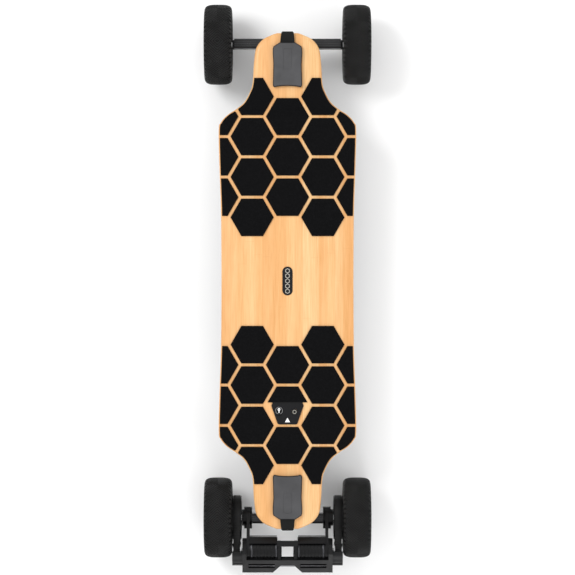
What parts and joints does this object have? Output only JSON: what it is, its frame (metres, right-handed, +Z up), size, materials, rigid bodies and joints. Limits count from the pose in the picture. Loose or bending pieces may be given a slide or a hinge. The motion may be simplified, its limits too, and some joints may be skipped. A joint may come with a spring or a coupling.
{
  "type": "electric skateboard",
  "caption": "Electric all-terrain skateboard: laminated deck with hexagonal grip, pneumatic wheels, leaning trucks and belt drive.",
  "frame": {"origin": "on the ground under the middle of the overall bounding box", "axes": "+Y towards the nose, +Z up, +X to the rider's right when facing the nose"},
  "size_m": [0.343, 1.1694, 0.165],
  "materials": {
    "anodised_red": "anodised",
    "badge": "gloss",
    "bamboo": "satin lacquer",
    "baseplate_black": "satin",
    "bearing_steel": "polished",
    "belt_rubber": "matte",
    "black_steel": "satin",
    "bushing": "satin",
    "button": "brushed",
    "cap_rubber": "matte",
    "cell_wrap": "gloss",
    "circuit_board": "gloss",
    "controller_metal": "satin",
    "copper": "lacquered",
    "cover_grey": "satin",
    "drive_black": "satin",
    "gold": "polished",
    "grip": "gritty",
    "hanger_black": "satin",
    "lid_metal": "satin",
    "light": "translucent",
    "motor_black": "satin",
    "panel_black": "gloss",
    "port_metal": "satin",
    "pulley_black": "anodised",
    "rail_aluminium": "satin",
    "rim_black": "satin gloss",
    "rotor_steel": "machined",
    "rubber_trim": "matte",
    "skin": "satin",
    "steel": "zinc",
    "tray_black": "satin",
    "tyre": "matte"
  },
  "bodies": {
    "deck": {"deck_core": "bamboo", "deck_skin": "skin", "grip_tiles": "grip", "truck_covers": "cover_grey", "end_bumpers": "rubber_trim", "deck_badge": "badge", "control_panel": "panel_black", "status_light": "light", "charge_port": "port_metal", "enclosure_tray": "tray_black", "enclosure_lid": "lid_metal", "enclosure_gasket": "rubber_trim", "enclosure_screws": "black_steel", "battery_cells": "cell_wrap", "bms_board": "circuit_board", "speed_controller": "controller_metal", "cable_cover": "tray_black", "front_baseplate": "baseplate_black", "rear_baseplate": "baseplate_black", "baseplate_bolts": "steel", "front_kingpin": "steel", "rear_kingpin": "steel", "front_kingpin_nut": "gold", "rear_kingpin_nut": "gold", "front_bushings": "bushing", "rear_bushings": "bushing", "front_pivot_cup": "rubber_trim", "rear_pivot_cup": "rubber_trim"},
    "power_button": {"power_button": "button"},
    "charge_port_cap": {"charge_port_cap": "cap_rubber"},
    "front_truck": {"front_hanger": "hanger_black", "front_axle": "steel"},
    "front_left_wheel": {"front_left_tyre": "tyre", "front_left_rim": "rim_black", "front_left_bearings": "bearing_steel", "front_left_hub_ring": "anodised_red"},
    "front_right_wheel": {"front_right_tyre": "tyre", "front_right_rim": "rim_black", "front_right_bearings": "bearing_steel", "front_right_hub_ring": "anodised_red"},
    "rear_truck": {"rear_hanger": "hanger_black", "rear_axle": "steel", "motor_mounts": "drive_black", "motor_guard": "drive_black", "guard_rails": "rail_aluminium", "motor_housings": "motor_black", "motor_stators": "copper", "drive_belts": "belt_rubber"},
    "rear_left_wheel": {"rear_left_tyre": "tyre", "rear_left_rim": "rim_black", "rear_left_bearings": "bearing_steel", "rear_left_hub_ring": "anodised_red", "left_wheel_pulley": "pulley_black"},
    "rear_right_wheel": {"rear_right_tyre": "tyre", "rear_right_rim": "rim_black", "rear_right_bearings": "bearing_steel", "rear_right_hub_ring": "anodised_red", "right_wheel_pulley": "pulley_black"},
    "left_rotor": {"left_rotor": "rotor_steel"},
    "right_rotor": {"right_rotor": "rotor_steel"}
  },
  "joints": [
    {"name": "front_lean", "type": "hinge", "parent": "deck", "child": "front_truck", "pos_m": [0, 0.47225, 0.0888], "axis": [0, 0.866, 0.5], "range_deg": [-14, 14], "stiffness_Nm_per_rad": 60, "deforming": ["front_bushings"]},
    {"name": "rear_lean", "type": "hinge", "parent": "deck", "child": "rear_truck", "pos_m": [0, -0.44575, 0.0888], "axis": [0, -0.866, 0.5], "range_deg": [-14, 14], "stiffness_Nm_per_rad": 60, "deforming": ["rear_bushings"]},
    {"name": "front_left_wheel_spin", "type": "hinge", "parent": "front_truck", "child": "front_left_wheel", "pos_m": [-0.143, 0.50225, 0.0825], "axis": [1, 0, 0], "continuous": true},
    {"name": "front_right_wheel_spin", "type": "hinge", "parent": "front_truck", "child": "front_right_wheel", "pos_m": [0.143, 0.50225, 0.0825], "axis": [1, 0, 0], "continuous": true},
    {"name": "rear_left_wheel_spin", "type": "hinge", "parent": "rear_truck", "child": "rear_left_wheel", "pos_m": [-0.143, -0.47575, 0.0825], "axis": [1, 0, 0], "continuous": true},
    {"name": "rear_right_wheel_spin", "type": "hinge", "parent": "rear_truck", "child": "rear_right_wheel", "pos_m": [0.143, -0.47575, 0.0825], "axis": [1, 0, 0], "continuous": true},
    {"name": "left_rotor_spin", "type": "hinge", "parent": "rear_truck", "child": "left_rotor", "pos_m": [-0.05, -0.54075, 0.11], "axis": [1, 0, 0], "continuous": true},
    {"name": "right_rotor_spin", "type": "hinge", "parent": "rear_truck", "child": "right_rotor", "pos_m": [0.05, -0.54075, 0.11], "axis": [1, 0, 0], "continuous": true},
    {"name": "power_button_press", "type": "slide", "parent": "deck", "child": "power_button", "axis": [0, 0, -1], "range_m": [0, 0.0012], "stiffness_N_per_m": 400},
    {"name": "charge_port_cap_hinge", "type": "hinge", "parent": "deck", "child": "charge_port_cap", "pos_m": [-0.0173, -0.26035, 0.1609], "axis": [1, 0, 0], "range_deg": [0, 110]}
  ],
  "couplings": [
    {"joint": "left_rotor_spin", "follows": "rear_left_wheel_spin", "ratio": 3},
    {"joint": "right_rotor_spin", "follows": "rear_right_wheel_spin", "ratio": 3}
  ]
}
